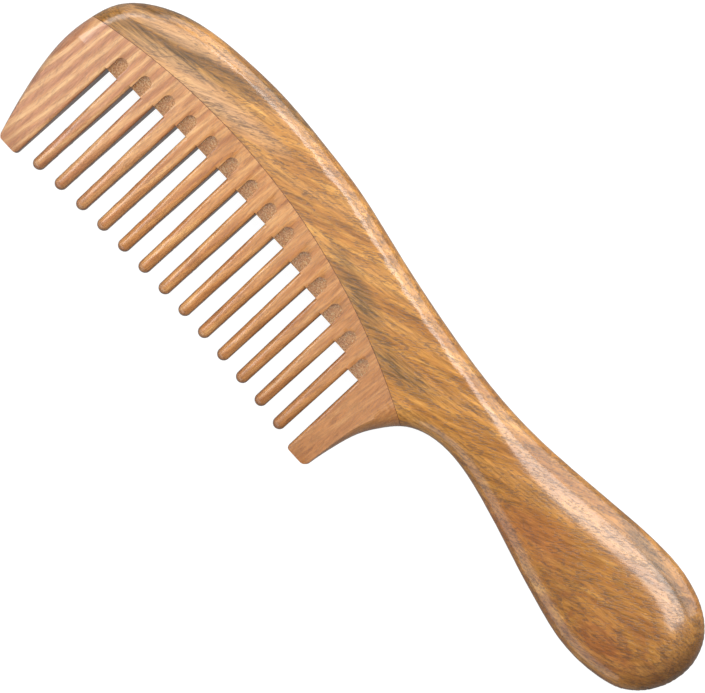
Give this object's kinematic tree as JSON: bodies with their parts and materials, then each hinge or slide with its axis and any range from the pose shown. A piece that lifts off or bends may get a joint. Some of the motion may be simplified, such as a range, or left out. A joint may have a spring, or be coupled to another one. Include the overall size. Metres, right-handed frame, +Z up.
{
  "type": "wide tooth comb",
  "caption": "Wooden wide tooth comb: a curved spine and rounded handle in one board, with a tapered tooth plate glued into it along a curved seam.",
  "frame": {"origin": "centre of the comb's length and width, on the surface that the comb lies on", "axes": "+X along the comb towards the butt of the handle, +Y from the tooth tips towards the spine, +Z up through the thickness"},
  "size_m": [0.21, 0.056, 0.011],
  "materials": {
    "back_wood": "hand-polished oiled sandalwood, satin",
    "tooth_wood": "hand-polished oiled sandalwood, satin",
    "glue": "dried wood glue, dull"
  },
  "bodies": {
    "root": {"handle_back": "back_wood", "tooth_plate": "tooth_wood", "glue_line": "glue"}
  },
  "joints": []
}
